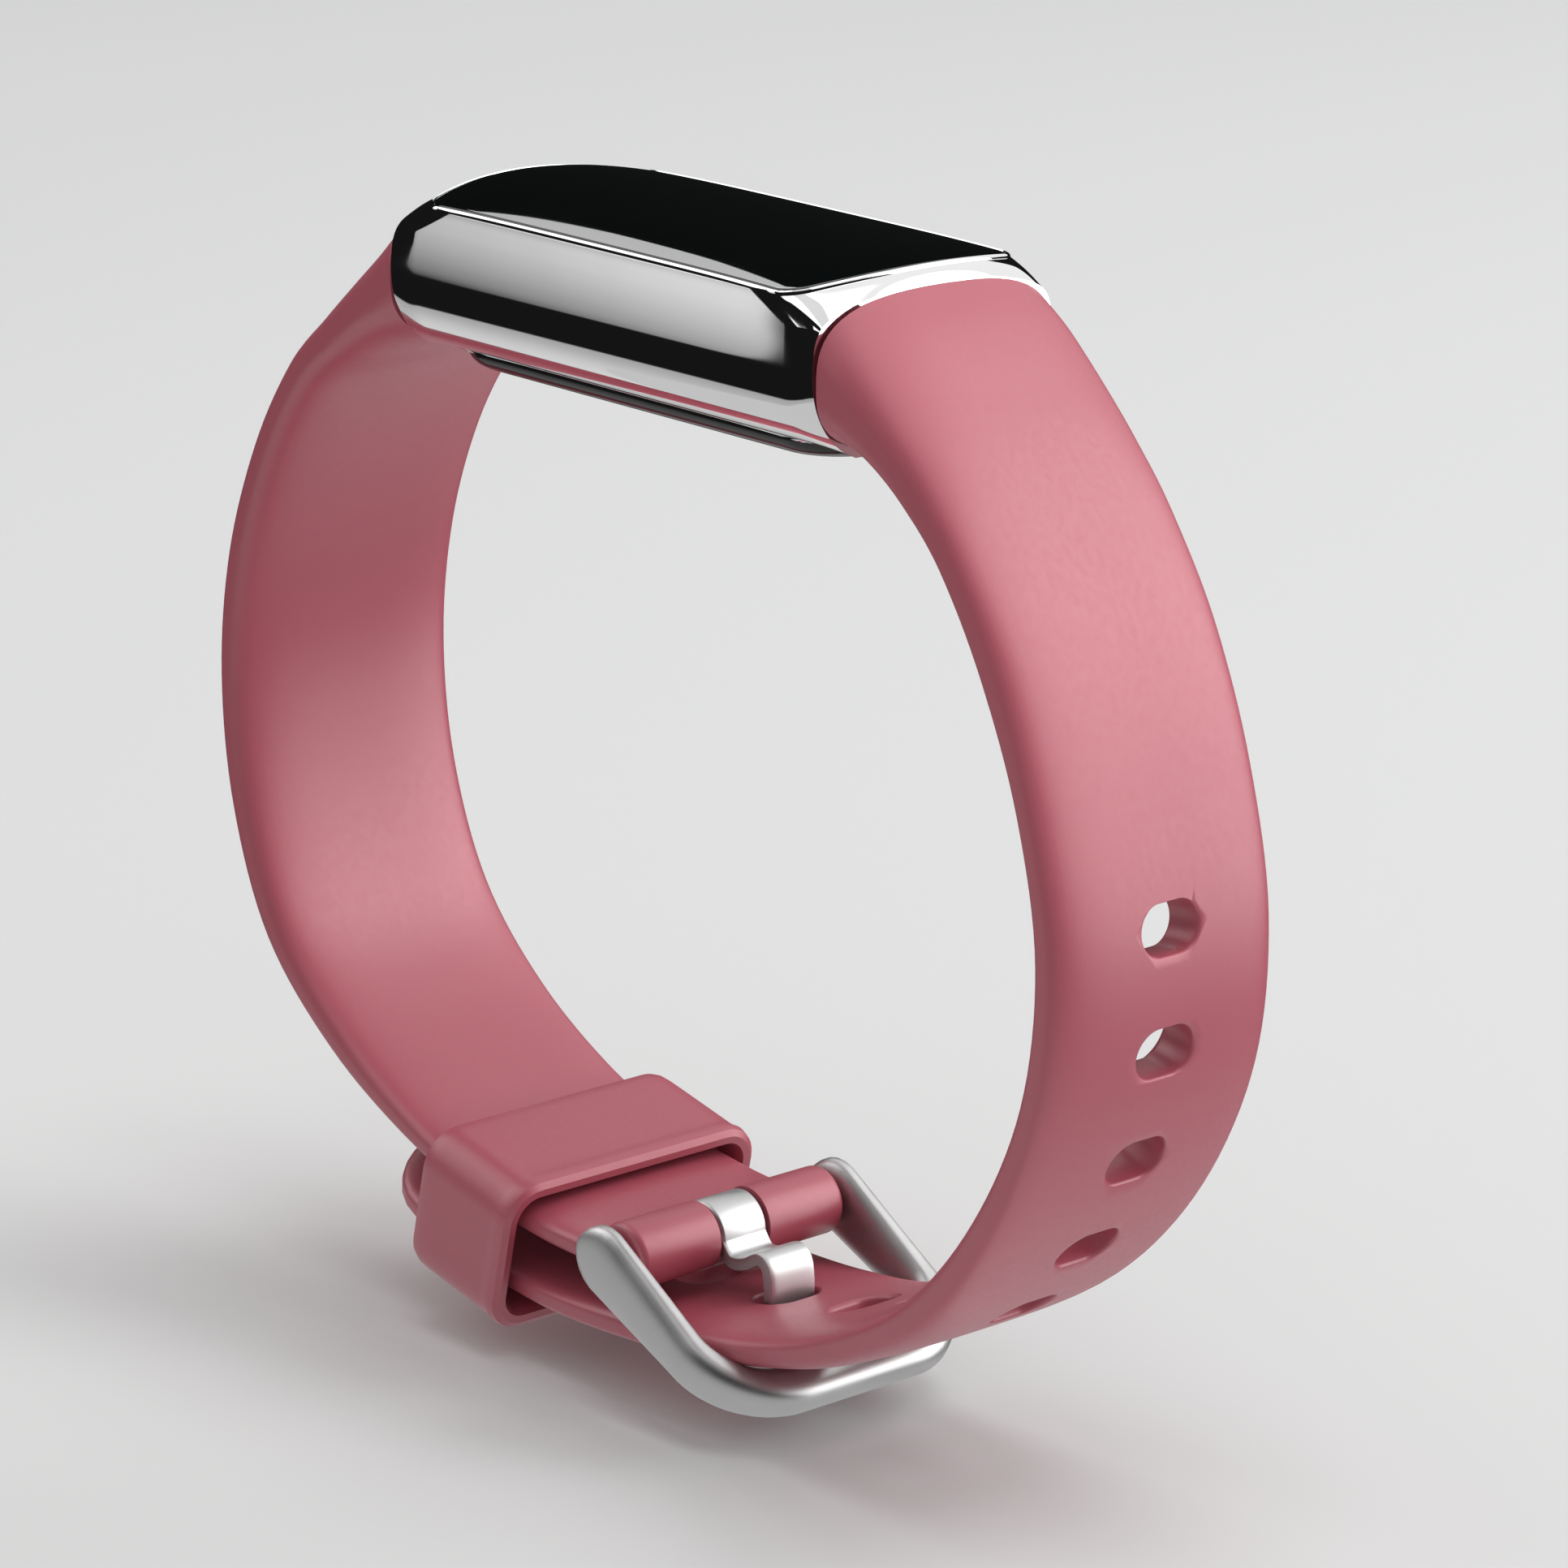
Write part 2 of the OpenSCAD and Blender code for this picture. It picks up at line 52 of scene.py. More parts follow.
camera_data = bpy.data.cameras.new("camera")
camera = bpy.data.objects.new("camera", camera_data)
scene.collection.objects.link(camera)
scene.camera = camera
camera_data.lens = 144.6
camera_data.sensor_width = 36
camera_data.clip_start = 0.01
camera_data.clip_end = 20
CAM_AT = Vector((262.525, -226.723, 95.685)) * MM
CAM_RIGHT = Vector((0.66055, 0.75072, 0.00954))
CAM_UP = Vector((-0.21904, 0.18055, 0.95887))
CAM_BACK = Vector((0.71812, -0.63547, 0.28370))
camera.matrix_world = Matrix.Translation(CAM_AT) @ Matrix(
    (CAM_RIGHT, CAM_UP, CAM_BACK)).transposed().to_4x4()

# ---------- mesh helpers: all shapes below are in millimetres ----------

# Angles in degrees above which an edge is sharp: lofts, pieces with cuts, and the case
SHARP, CUT_SHARP, CASE_SHARP = 32, 40, 50
# Distances in metres under which points are welded and faces are dropped
WELD, SLIVER = 2e-6, 1e-7


def catmull(stations, steps):
    """Catmull-Rom curve through a list of stations, as in the CAD source."""
    s = np.array(stations, float)
    out = []
    for i in range(len(s) - 1):
        a, b, c, d = s[max(i - 1, 0)], s[i], s[i + 1], s[min(i + 2, len(s) - 1)]
        for j in range(steps):
            t = j / steps
            out.append(0.5 * (2 * b + (c - a) * t + (2 * a - 5 * b + 4 * c - d) * t * t
                              + (3 * b - a - 3 * c + d) * t ** 3))
    out.append(s[-1])
    return np.array(out)


def power(v, p):
    """Power that keeps the sign."""
    return np.sign(v) * np.abs(v) ** p


def oval(a, b, e, n):
    """n points on a superellipse with half sizes a, b and exponent e."""
    t = 2 * np.pi * (np.arange(n) + 0.5) / n
    return np.stack([a * power(np.cos(t), 2 / e), b * power(np.sin(t), 2 / e)], 1)


def lengths(line):
    """Distance along a line at each of its points."""
    return np.r_[0, np.cumsum(np.linalg.norm(np.diff(line, axis=0), axis=1))]


def along(line, distance):
    """Point at a distance along a line."""
    d = lengths(line)
    return np.array([np.interp(distance, d, line[:, k]) for k in range(line.shape[1])])


def even(points, n, closed=True):
    """n points at equal distances along a line."""
    p = np.vstack([points, points[:1]]) if closed else np.array(points)
    d = lengths(p)
    s = np.linspace(0, d[-1], n, endpoint=not closed)
    return np.stack([np.interp(s, d, p[:, k]) for k in range(p.shape[1])], 1)


def clean(obj, sharp):
    """Welds doubles, turns the faces outwards and marks sharp edges."""
    bm = bmesh.new()
    bm.from_mesh(obj.data)
    bmesh.ops.remove_doubles(bm, verts=bm.verts, dist=WELD)
    bmesh.ops.dissolve_degenerate(bm, edges=bm.edges, dist=SLIVER)
    bmesh.ops.recalc_face_normals(bm, faces=bm.faces)
    for f in bm.faces:
        f.smooth = True
    for e in bm.edges:
        e.smooth = not (len(e.link_faces) == 2 and e.calc_face_angle(0) > math.radians(sharp))
    bm.to_mesh(obj.data)
    bm.free()
    obj.data.update()


def make(name, verts, faces, sharp=SHARP):
    """Mesh object from points, smooth except where faces meet at more than `sharp` degrees."""
    mesh = bpy.data.meshes.new(name)
    mesh.from_pydata([tuple(float(x) * MM for x in v) for v in verts], [], faces)
    obj = bpy.data.objects.new(name, mesh)
    scene.collection.objects.link(obj)
    clean(obj, sharp)
    return obj


def loft(name, rings, loop=False, sharp=SHARP):
    """Closed skin through rings with equal numbers of points; loop joins the last to the first."""
    n = len(rings[0])
    count = len(rings)
    verts = [p for r in rings for p in r]
    faces = []
    for i in range(count if loop else count - 1):
        k = (i + 1) % count
        for j in range(n):
            m = (j + 1) % n
            faces.append((i * n + j, i * n + m, k * n + m, k * n + j))
    if not loop:
        for ring, flip in ((0, True), (count - 1, False)):
            centre = len(verts)
            verts.append(np.mean(rings[ring], axis=0))
            for j in range(n):
                m = (j + 1) % n
                tri = (ring * n + j, ring * n + m, centre)
                faces.append(tri[::-1] if flip else tri)
    return make(name, verts, faces, sharp)


def block(low, high):
    """Box between two corners, used only as a cutter."""
    (x0, y0, z0), (x1, y1, z1) = low, high
    return loft("cutter", [[(x, y0, z0), (x, y1, z0), (x, y1, z1), (x, y0, z1)] for x in (x0, x1)])


def revolve(name, profile, centre, axis, n=64):
    """Solid of revolution from (distance along the axis, radius) pairs; axis is "y" or "z"."""
    x, y, z = centre
    turn = 2 * np.pi * np.arange(n) / n
    rings = []
    for h, r in profile:
        if axis == "y":
            rings.append([(x + r * math.cos(a), y + h, z + r * math.sin(a)) for a in turn])
        else:
            rings.append([(x + r * math.cos(a), y + r * math.sin(a), z + h) for a in turn])
    return loft(name, rings)


def boolean(obj, others, operation="DIFFERENCE", sharp=SHARP):
    """Applies exact booleans with the other objects and removes them."""
    for other in others:
        m = obj.modifiers.new("boolean", "BOOLEAN")
        m.operation, m.solver, m.object = operation, "EXACT", other
    bpy.context.view_layer.update()
    evaluated = obj.evaluated_get(bpy.context.evaluated_depsgraph_get())
    mesh = bpy.data.meshes.new_from_object(evaluated)
    old = obj.data
    obj.modifiers.clear()
    obj.data = mesh
    bpy.data.meshes.remove(old)
    for other in others:
        bpy.data.objects.remove(other)
    clean(obj, sharp)


# ---------- materials ----------

# Part of the noise's range that is spread over the whole colour or roughness range
NOISE_LOW, NOISE_HIGH = 0.3, 0.7


def new_material(name):
    mat = bpy.data.materials.new(name)
    mat.use_nodes = True
    tree = mat.node_tree
    return mat, tree, tree.nodes["Principled BSDF"]


def noise(tree, scale, detail=3.0, stretch=(1, 1, 1)):
    """Noise over the object's own coordinates, in metres."""
    coords = tree.nodes.new("ShaderNodeTexCoord")
    mapping = tree.nodes.new("ShaderNodeMapping")
    mapping.inputs["Scale"].default_value = stretch
    tree.links.new(coords.outputs["Object"], mapping.inputs["Vector"])
    n = tree.nodes.new("ShaderNodeTexNoise")
    n.inputs["Scale"].default_value = scale
    n.inputs["Detail"].default_value = detail
    tree.links.new(mapping.outputs["Vector"], n.inputs["Vector"])
    return n.outputs["Fac"]


def spread(tree, value, low, high):
    """Noise turned into numbers from low to high."""
    n = tree.nodes.new("ShaderNodeMapRange")
    tree.links.new(value, n.inputs["Value"])
    n.inputs["From Min"].default_value = NOISE_LOW
    n.inputs["From Max"].default_value = NOISE_HIGH
    n.inputs["To Min"].default_value = low
    n.inputs["To Max"].default_value = high
    return n.outputs["Result"]


def tint(tree, value, dark, light):
    """Noise turned into colours from dark to light."""
    ramp = tree.nodes.new("ShaderNodeValToRGB")
    elements = ramp.color_ramp.elements
    elements[0].color = (*dark, 1)
    elements[1].color = (*light, 1)
    elements[0].position = NOISE_LOW
    elements[1].position = NOISE_HIGH
    tree.links.new(value, ramp.inputs["Fac"])
    return ramp.outputs["Color"]


def bump(tree, shader, value, distance, strength=1.0):
    """Fine relief, its height in metres."""
    n = tree.nodes.new("ShaderNodeBump")
    n.inputs["Strength"].default_value = strength
    n.inputs["Distance"].default_value = distance
    tree.links.new(value, n.inputs["Height"])
    tree.links.new(n.outputs["Normal"], shader.inputs["Normal"])


def plain(name, dark, light, rough, metallic=0.0, scale=300, grain=6000, depth=4e-6,
          stretch=(1, 1, 1)):
    """Colour, roughness and fine relief that vary over the surface."""
    mat, tree, shader = new_material(name)
    wide = noise(tree, scale)
    tree.links.new(tint(tree, wide, dark, light), shader.inputs["Base Color"])
    tree.links.new(spread(tree, wide, *rough), shader.inputs["Roughness"])
    shader.inputs["Metallic"].default_value = metallic
    bump(tree, shader, noise(tree, grain, 2.0, stretch), depth)
    return mat


def elastomer():
    """Soft matt rubber with a faint sheen."""
    mat, tree, shader = new_material("elastomer")
    wide = noise(tree, 45, 2.0)
    colour = tint(tree, wide, (0.385, 0.064, 0.096), (0.415, 0.074, 0.108))
    tree.links.new(colour, shader.inputs["Base Color"])
    tree.links.new(spread(tree, noise(tree, 2500, 3.0), 0.4, 0.46), shader.inputs["Roughness"])
    shader.inputs["Specular IOR Level"].default_value = 1.0
    shader.inputs["Sheen Weight"].default_value = 0.04
    shader.inputs["Sheen Roughness"].default_value = 0.5
    shader.inputs["Sheen Tint"].default_value = (1.0, 0.8, 0.85, 1)
    bump(tree, shader, noise(tree, 9000, 3.0), 6e-6, 0.6)
    return mat


def grey(level):
    return (level, level, level)


# Slot: dark and light colour, roughness range, then metallic, scale of the variation,
# scale of the grain, height of the grain and its stretch where they aren't the usual ones
LOOKS = {
    "polished_steel": (grey(0.86), grey(0.9), (0.02, 0.045), 1.0, 120, 3000, 2e-8),
    "cover_glass": ((0.002, 0.003, 0.003), (0.003, 0.004, 0.004), (0.015, 0.03),
                    0.0, 90, 2000, 2e-8),
    "back_cover": (grey(0.008), grey(0.012), (0.12, 0.2), 0.0, 300, 9000, 5e-7),
    "buckle_steel": (grey(0.56), grey(0.6), (0.42, 0.48), 1.0, 500, 9000, 4e-7, (0.08, 1, 1)),
    "small_steel": (grey(0.5), grey(0.62), (0.2, 0.35), 1.0, 900, 9000, 1e-6),
    "display": ((0.004, 0.004, 0.006), (0.01, 0.01, 0.014), (0.1, 0.18)),
    "gasket": (grey(0.02), grey(0.035), (0.7, 0.85)),
    "inner_frame": ((0.03, 0.032, 0.035), (0.05, 0.052, 0.055), (0.5, 0.65)),
    "circuit_board": ((0.008, 0.07, 0.028), (0.015, 0.11, 0.045), (0.3, 0.45), 0.0, 1500),
    "chip": ((0.012, 0.012, 0.013), (0.024, 0.024, 0.026), (0.45, 0.6), 0.0, 1500),
    "battery_pouch": ((0.42, 0.43, 0.45), (0.55, 0.56, 0.58), (0.25, 0.4), 1.0, 700, 2500, 8e-6),
    "flex_circuit": ((0.38, 0.14, 0.02), (0.5, 0.2, 0.03), (0.25, 0.4)),
    "motor_weight": ((0.2, 0.19, 0.18), (0.3, 0.29, 0.27), (0.35, 0.5), 1.0),
    "led": ((0.35, 0.6, 0.25), (0.5, 0.8, 0.4), (0.1, 0.2)),
    "photodiode": ((0.01, 0.01, 0.04), (0.03, 0.03, 0.08), (0.15, 0.25)),
    "sensor_window": ((0.004, 0.004, 0.006), (0.008, 0.008, 0.01), (0.03, 0.06)),
    "contact_metal": ((0.75, 0.52, 0.2), (0.85, 0.62, 0.28), (0.18, 0.28), 1.0, 900, 7000, 8e-7),
    "connector": ((0.12, 0.115, 0.115), (0.17, 0.16, 0.16), (0.5, 0.6)),
}
MATS = {"elastomer": elastomer(), **{slot: plain(slot, *look) for slot, look in LOOKS.items()}}


def finish_piece(obj, body, slot, *nodes):
    """Gives a piece the material of a slot and its body, and hides the CAD nodes that it stands for.
    """
    obj.data.materials.clear()
    obj.data.materials.append(MATS[slot])
    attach(obj, body)
    if nodes:
        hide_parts(*nodes)


slots = {s["node"]: s["material_slot"] for s in frame["record"]["subparts"]}
for name, obj in frame["nodes"].items():
    obj.data.materials.clear()
    obj.data.materials.append(MATS[slots[name]])

# ---------- band halves ----------

STRAP_X = 18.4
BAND = 8.25
# Outer x, outer z, inner x, inner z, half width, exponent of the section's superellipse
BUCKLE_STATIONS = [
    [-STRAP_X, 25.3, -STRAP_X, 16.5, 8.7, 2.85],
    [-20.6, 23, -19.3, 16.4, 8.6, 2.9],
    [-23.3, 20.4, -21.2, 15.9, 8.5, 3],
    [-26.2, 17.6, -23.7, 14.6, 8.4, 3.2],
    [-29.5, 14.3, -27.1, 12.2, 8.3, 3.4],
    [-33.1, 8.65, -30.6, 7.25, BAND, 3.5],
    [-35.9, 1.3, -33.2, 0.7, BAND, 3.5],
    [-36.9, -6.7, -34.2, -6.7, BAND, 3.5],
    [-35.85, -15.1, -33.25, -14.3, BAND, 3.5],
    [-32.4, -22.9, -30.2, -21.3, BAND, 3.5],
    [-26.15, -28.7, -24.75, -26.4, 8.1, 3.5],
    [-18.7, -32.5, -17.9, -30.2, 8, 3.5],
    [-12, -34.3, -11.5, -32.2, 8, 3.5],
    [-5.5, -35.2, -5.3, -33.1, 7.95, 3.5],
    [0.4, -35.4, 0.4, -33.2, 7.8, 3.5]]
HOLE_STATIONS = [
    [STRAP_X, 25.3, STRAP_X, 16.6, 8.7, 2.85],
    [20.7, 23.4, 19.4, 16.8, 8.7, 2.9],
    [23.5, 20.7, 21.35, 16.3, 8.5, 3],
    [26.4, 17.65, 23.85, 14.8, 8.3, 3.2],
    [29.25, 14, 27, 11.95, BAND, 3.4],
    [32.85, 8.3, 30.25, 6.85, BAND, 3.5],
    [35.75, 0.9, 33.2, 0.25, BAND, 3.5],
    [37.6, -7.4, 34.75, -7.4, BAND, 3.5],
    [36.8, -16.15, 34, -15.3, 8.4, 3.5],
    [33.05, -24.4, 30.55, -22.7, 8.5, 3.5],
    [27.05, -31.1, 25.35, -28.8, 8.4, 3.5],
    [19.35, -35.45, 18.35, -32.95, 8, 3.5],
    [12.4, -37.72, 11.9, -35.3, 7.5, 3.5],
    [6, -38.8, 5.8, -36.4, 7.7, 3.5],
    [0, -39.3, 0, -36.9, 7.95, 3.5],
    [-6, -39.4, -6, -37.1, 7.95, 3.5],
    [-12, -38.7, -11.6, -36.5, 7.95, 3.5],
    [-17.6, -37.4, -17.1, -35.25, 7.95, 3.5]]
TIP = [-23.6, -35.4, -23, -33.5]
TIP_ANGLES = (14, 25, 36, 45, 53, 60, 66, 72, 77, 82, 86)

FIRST_HOLE, PITCH, HOLES = 37.95, 7.05, 10
HOLE_W, HOLE_L, HOLE_DEPTH = 4.2, 2.9, 2.45
# Radius of a hole's rounded rim, and how far above the surface it starts
RIM, RIM_RAISE = 0.28, 0.02
# How far the cutter goes past both surfaces, and how much wider it is there
FLARE_PAST, FLARE_WIDER = 0.9, 0.95

BAR_X, BAR_Z = 1.33, -33.72
BAR_AT = (BAR_X, 0, BAR_Z)
LUG_R, LUG_Y, LUG_ROUND, LUG_BORE = 2.06, 7.8, 0.5, 0.95
TANG_W, TANG_T, TANG_ROOM = 3.4, 0.9, 0.2
WRAP_R, WRAP_ROUND, WRAP_BORE = 2, 0.22, 0.96


def band_ring(s, n=72):
    """Section of the band at a station."""
    p = even(oval(1, 1, s[5], 720), n)
    return [((s[0] + s[2]) / 2 + (s[0] - s[2]) / 2 * v, s[4] * u,
             (s[1] + s[3]) / 2 + (s[1] - s[3]) / 2 * v) for u, v in p]


def tip_stations(s):
    """Stations of the tail's rounded end, from the last station s."""
    out = []
    for a in TIP_ANGLES:
        t, w = math.sin(math.radians(a)), math.cos(math.radians(a))
        out.append([*(s[i] + (TIP[i] - s[i]) * t for i in range(4)), s[4] * w, s[5]])
    return out


def hole_frame(distance):
    """Point, forward and outward directions at a distance along the hole side's outer surface."""
    path = catmull(HOLE_STATIONS, 8)[:, :2]
    at = along(path, distance)
    ahead = along(path, distance + 0.2)
    forward = (ahead - at) / np.linalg.norm(ahead - at)
    out = np.array([forward[1], -forward[0]])
    return at, forward, out * np.sign(np.dot(out, at))


def hole_cutter(distance):
    """Oblong cutter whose two ends flare, so that the hole's rims are rounded."""
    at, forward, out = hole_frame(distance)
    r = HOLE_L / 2
    t = np.linspace(0, 2 * np.pi, 64, endpoint=False)
    sides = np.sign(np.sin(t)) * (HOLE_W / 2 - r)
    outline = np.stack([r * np.cos(t), r * np.sin(t) + sides], 1)
    unit = np.stack([np.cos(t), np.sin(t)], 1)
    levels = []
    for degrees in (0, 22, 45, 68, 90):
        c, s = math.cos(math.radians(degrees)), math.sin(math.radians(degrees))
        levels.append((-RIM * (1 - c) + RIM_RAISE, RIM * (1 - s)))
    top = [(FLARE_PAST, FLARE_WIDER), *levels]
    bottom = [(-HOLE_DEPTH - h, g) for h, g in reversed(levels)]
    bottom.append((-HOLE_DEPTH - FLARE_PAST, FLARE_WIDER))
    rings = []
    for h, g in top + bottom:
        rings.append([(at[0] + forward[0] * a + out[0] * h, b, at[1] + forward[1] * a + out[1] * h)
                      for a, b in outline + unit * g])
    return loft("cutter", rings)


def pockets(side):
    """Rooms for the connector and its latch in a band half's root."""
    rooms = [((17.4, -5.02, 17.58), (21.42, 5.02, 21.22)), ((19.0, -2.1, 14), (20.9, 2.1, 18.5))]
    out = []
    for low, high in rooms:
        if side < 0:
            low, high = (-high[0], low[1], low[2]), (-low[0], high[1], high[2])
        out.append(block(low, high))
    return out


def barrel(name, half, radius, rounding, degrees):
    """Cylinder about the bar with rounded ends."""
    edge = [(rounding * (1 - math.cos(a)), radius - rounding * (1 - math.sin(a)))
            for a in np.radians(degrees)]
    profile = [(-half + d, r) for d, r in edge] + [(half - d, r) for d, r in reversed(edge)]
    return revolve(name, profile, BAR_AT, "y", 96)


def bar_bore(half, radius, n=48):
    """Cutter for a bore about the bar."""
    return revolve("cutter", [(-half, radius), (half, radius)], BAR_AT, "y", n)


hole_side = catmull(HOLE_STATIONS, 8)
hole_side = [*hole_side, *tip_stations(hole_side[-1])]
strap_hole = loft("band_hole_side", [band_ring(s) for s in hole_side])
cutters = [hole_cutter(FIRST_HOLE + i * PITCH) for i in range(HOLES)]
boolean(strap_hole, cutters + pockets(1), sharp=CUT_SHARP)
finish_piece(strap_hole, "band", "elastomer", "strap_hole_side")

strap_buckle = loft("band_buckle_side", [band_ring(s) for s in catmull(BUCKLE_STATIONS, 8)])
lug = barrel("lug", LUG_Y, LUG_R, LUG_ROUND, [0, 15, 30, 45, 60, 75, 90])
boolean(strap_buckle, [lug], "UNION")
room = TANG_W / 2 + TANG_ROOM
slot_cut = block((BAR_X - 3.2, -room, BAR_Z - 4), (BAR_X + 4, room, BAR_Z + 4))
boolean(strap_buckle, [slot_cut, bar_bore(9, LUG_BORE)] + pockets(-1), sharp=CUT_SHARP)
finish_piece(strap_buckle, "band", "elastomer", "strap_buckle_side")

# ---------- keeper ----------

KEEPER_X, KEEPER_Z, KEEPER_SLOPE = -11.5, -35.5, 12
KEEPER_L, KEEPER_WALL, KEEPER_R = 8.2, 1.0, 1.9
KEEPER_IN = (17.2, 7.7)
# Raised bead inside one edge of the outer face: height, distance from the edge, width
BEAD_H, BEAD_IN, BEAD_W = 0.16, 0.55, 0.42


def rounded_outline(w, h, r, n):
    """Rounded rectangle as n evenly spaced points with outward directions."""
    pts = []
    for cx, cy, a0 in ((1, 1, 0), (-1, 1, 90), (-1, -1, 180), (1, -1, 270)):
        for a in np.linspace(a0, a0 + 90, 13):
            c, s = math.cos(math.radians(a)), math.sin(math.radians(a))
            pts.append((cx * (w / 2 - r) + r * c, cy * (h / 2 - r) + r * s, c, s))
    return even(np.array(pts), n)


def keeper_piece():
    """Loop of a flat section with rounded corners, swept round the two layers of the band."""
    path = rounded_outline(KEEPER_IN[0] + KEEPER_WALL, KEEPER_IN[1] + KEEPER_WALL, KEEPER_R, 160)
    half_t, half_l = KEEPER_WALL / 2, KEEPER_L / 2
    section = []
    for u, v in even(oval(half_l, half_t, 7, 400), 40):
        bead = BEAD_H * math.exp(-((u - half_l + BEAD_IN) / BEAD_W) ** 2) if v > 0 else 0
        section.append((u, v + bead))
    c, s = math.cos(math.radians(KEEPER_SLOPE)), math.sin(math.radians(KEEPER_SLOPE))
    rings = []
    for y, z, ny, nz in path:
        k = math.hypot(ny, nz)
        ring = []
        for u, v in section:
            across, up = y + ny / k * v, z + nz / k * v
            ring.append((KEEPER_X + u * c + up * s, across, KEEPER_Z - u * s + up * c))
        rings.append(ring)
    return loft("keeper_loop", rings, loop=True)


finish_piece(keeper_piece(), "keeper", "elastomer", "keeper")

# ---------- buckle frame and tang ----------

FRAME_W, FRAME_L, FRAME_SLOPE, CORNER = 19.4, 12.6, 27, 4.6
# Half thickness and half height at the bar, at the corners and at the outer bar
ARM_SIZE = np.array([0.78, 2.2])
CORNER_SIZE = np.array([0.88, 1.55])
OUTER_SIZE = np.array([1.45, 1.15])
OUTER_LIFT = 0.3
ARM_V = FRAME_W / 2 - ARM_SIZE[0]


def frame_ring(u, v, heading, size, lift, n=40):
    """Section of the frame: u runs from the bar to the outer bar, v across, heading in degrees."""
    c, s = math.cos(math.radians(FRAME_SLOPE)), math.sin(math.radians(FRAME_SLOPE))
    h = math.radians(heading)
    out = []
    for p0, p1 in even(oval(*size, 2.6, 400), n):
        uu, vv, ww = u - p0 * math.sin(h), v + p0 * math.cos(h), p1 + lift
        out.append((BAR_X + uu * c + ww * s, vv, BAR_Z - uu * s + ww * c))
    return out


def half_frame():
    """Rings of one half, from the arm's end on the +Y side to the middle of the outer bar."""
    straight = FRAME_L - CORNER
    rings = []
    for a in np.radians([6, 12, 20, 30, 42, 56, 72, 90]):
        size = ARM_SIZE * [min(1, 0.55 + 0.6 * math.sin(a)), math.sin(a)]
        rings.append(frame_ring(-ARM_SIZE[1] * math.cos(a), ARM_V, 0, size, 0))
    for t in np.linspace(0.1, 0.9, 9):
        rings.append(frame_ring(straight * t, ARM_V, 0, ARM_SIZE + (CORNER_SIZE - ARM_SIZE) * t, 0))
    for degrees in range(0, 91, 6):
        t, a = degrees / 90, math.radians(degrees)
        u = straight + CORNER * math.sin(a)
        v = ARM_V - CORNER + CORNER * math.cos(a)
        size = CORNER_SIZE + (OUTER_SIZE - CORNER_SIZE) * t
        rings.append(frame_ring(u, v, -degrees, size, OUTER_LIFT * t * t))
    for t in (0.3, 0.6, 0.9):
        v = (ARM_V - CORNER) * (1 - t) + 0.5 * t
        rings.append(frame_ring(FRAME_L, v, -90, OUTER_SIZE, OUTER_LIFT))
    return rings


rings = half_frame()
rings += [[(x, -y, z) for x, y, z in ring] for ring in reversed(rings)]
buckle = loft("buckle_loop", rings)

TANG_STATIONS = [[2.43, -32.62], [2.95, -33.9], [3.8, -34.75], [5.1, -34.55], [6.25, -33.95],
                 [6.95, -34.3], [7.2, -35.4], [7.2, -37], [7.3, -38.4], [7.85, -39.35], [9, -39.95],
                 [10.1, -40.15], [11, -40.25]]


def tang_strip():
    """Bent strip that gets thinner over its last few rings."""
    line = catmull(TANG_STATIONS, 8)
    last = len(line) - 1
    rings = []
    for i, p in enumerate(line):
        d = line[min(i + 1, last)] - line[max(i - 1, 0)]
        d = d / np.linalg.norm(d)
        side = np.array([-d[1], d[0]])
        slim = min(1, 0.55 + 0.12 * (last - i))
        rings.append([(p[0] + side[0] * b, a, p[1] + side[1] * b)
                      for a, b in even(oval(TANG_W / 2, TANG_T / 2 * slim, 9, 800), 48)])
    return loft("buckle_tang_plate", rings)


boolean(buckle, [bar_bore(9.25, 0.5, 64)])
finish_piece(buckle, "buckle_frame", "buckle_steel", "buckle_frame")

tang = tang_strip()
boolean(tang, [barrel("wrap", TANG_W / 2, WRAP_R, WRAP_ROUND, [0, 30, 60, 90])], "UNION")
boolean(tang, [bar_bore(4, WRAP_BORE)])
finish_piece(tang, "buckle_tang", "buckle_steel", "buckle_tang")

# ---------- tracker case ----------

CASE_Z = 20.87
END_X = 18.2
BEVEL_X = END_X - 0.02
GLASS_L, GLASS_W, BOW, GLASS_CORNER = 34.5, 16.6, 1.75, 1.7
# Height of the glass's middle, and how far it falls towards its sides and its ends
GLASS_TOP, FALL_ACROSS, FALL_ALONG = 26.5, 0.9, 0.22
GLASS_FOOT = 24.5
LIP_GROW, LIP_RISE = 0.27, -0.2
# Points of a quarter ring along the end and along the side
N_END, N_SIDE = 40, 64
# Distance from the corner over which the side bends towards it
SIDE_REACH = 2.2
# Share of the side's profile above the crease between the side and the bevel
CREASE_SHARE = 0.155
BEVEL_SWELL = 0.07

# Side of the case from the lip down to the base, and outline of its end face: (|y|, z)
SIDE = even(catmull([
    (8.585, 25.34), (8.6, 25.1), (8.65, 24.55), (8.71, 23.85), (8.765, 23.05), (8.805, 22.15),
    (8.815, 21.3), (8.77, 20.45), (8.66, 19.7), (8.45, 18.95), (8.12, 18.3), (7.65, 17.72),
    (7.05, 17.25), (6.6, 17.02), (6.3, 16.92)], 12), 400, closed=False)
OUTLINE = even(catmull([
    (0, 25.4), (2.2, 25.34), (4.2, 25.15), (5.9, 24.84), (7.1, 24.5), (7.95, 24.1), (8.4, 23.6),
    (8.65, 23.0), (8.76, 22.2), (8.79, 21.3), (8.7, 20.3), (8.42, 19.3), (7.95, 18.4),
    (7.3, 17.6), (6.5, 16.95), (5.6, 16.5)], 12), 400, closed=False)


